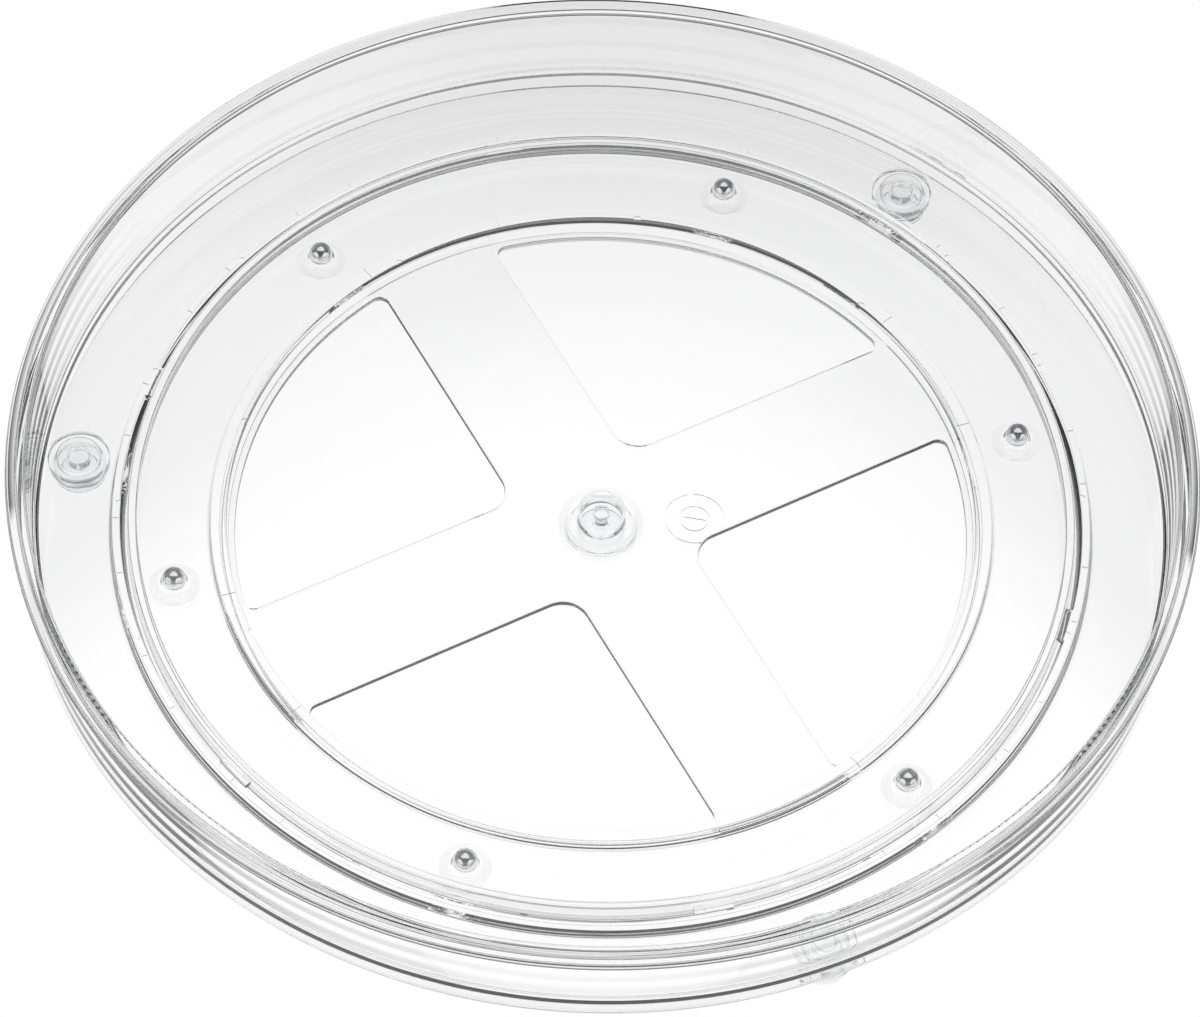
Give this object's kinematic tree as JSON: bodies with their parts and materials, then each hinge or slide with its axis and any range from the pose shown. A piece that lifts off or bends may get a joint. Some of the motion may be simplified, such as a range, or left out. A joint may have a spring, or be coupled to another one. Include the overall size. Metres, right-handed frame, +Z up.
{
  "type": "lazy susan turntable",
  "caption": "Clear rimmed round tray that spins on steel balls held in a low spoked base with plug-in feet, for turning bottles and jars within reach.",
  "frame": {"origin": "centre of the surface that the feet stand on, on the turning axis", "axes": "+Z up along the turning axis; +X to the right and +Y away as the tray is seen from its front"},
  "size_m": [0.3048, 0.3048, 0.0415],
  "materials": {
    "tray_plastic": "clear moulded styrene, polished",
    "base_plastic": "clear moulded styrene, polished, faint flow marks",
    "foot_elastomer": "clear soft elastomer, satin",
    "ball_steel": "polished bearing steel"
  },
  "bodies": {
    "base": {"base": "base_plastic", "outer_foot_1": "foot_elastomer", "outer_foot_2": "foot_elastomer", "outer_foot_3": "foot_elastomer", "centre_foot": "foot_elastomer"},
    "tray": {"tray": "tray_plastic"},
    "ball_1": {"ball_1": "ball_steel"},
    "ball_2": {"ball_2": "ball_steel"},
    "ball_3": {"ball_3": "ball_steel"},
    "ball_4": {"ball_4": "ball_steel"},
    "ball_5": {"ball_5": "ball_steel"},
    "ball_6": {"ball_6": "ball_steel"}
  },
  "joints": [
    {"name": "tray_spin", "type": "hinge", "parent": "base", "child": "tray", "pos_m": [0, 0, 0.012], "axis": [0, 0, 1], "continuous": true},
    {"name": "ball_1_roll", "type": "hinge", "parent": "base", "child": "ball_1", "pos_m": [0.10916, 0.02803, 0.012], "axis": [0.9686, 0.2487, 0], "continuous": true},
    {"name": "ball_2_roll", "type": "hinge", "parent": "base", "child": "ball_2", "pos_m": [0.03031, 0.10855, 0.012], "axis": [0.2689, 0.9632, 0], "continuous": true},
    {"name": "ball_3_roll", "type": "hinge", "parent": "base", "child": "ball_3", "pos_m": [-0.07885, 0.08052, 0.012], "axis": [-0.6997, 0.7145, 0], "continuous": true},
    {"name": "ball_4_roll", "type": "hinge", "parent": "base", "child": "ball_4", "pos_m": [-0.10916, -0.02803, 0.012], "axis": [-0.9686, -0.2487, 0], "continuous": true},
    {"name": "ball_5_roll", "type": "hinge", "parent": "base", "child": "ball_5", "pos_m": [-0.03031, -0.10855, 0.012], "axis": [-0.2689, -0.9632, 0], "continuous": true},
    {"name": "ball_6_roll", "type": "hinge", "parent": "base", "child": "ball_6", "pos_m": [0.07885, -0.08052, 0.012], "axis": [0.6997, -0.7145, 0], "continuous": true}
  ],
  "couplings": [
    {"joint": "ball_1_roll", "follows": "tray_spin", "ratio": -35.496},
    {"joint": "ball_2_roll", "follows": "tray_spin", "ratio": -35.496},
    {"joint": "ball_3_roll", "follows": "tray_spin", "ratio": -35.496},
    {"joint": "ball_4_roll", "follows": "tray_spin", "ratio": -35.496},
    {"joint": "ball_5_roll", "follows": "tray_spin", "ratio": -35.496},
    {"joint": "ball_6_roll", "follows": "tray_spin", "ratio": -35.496}
  ]
}
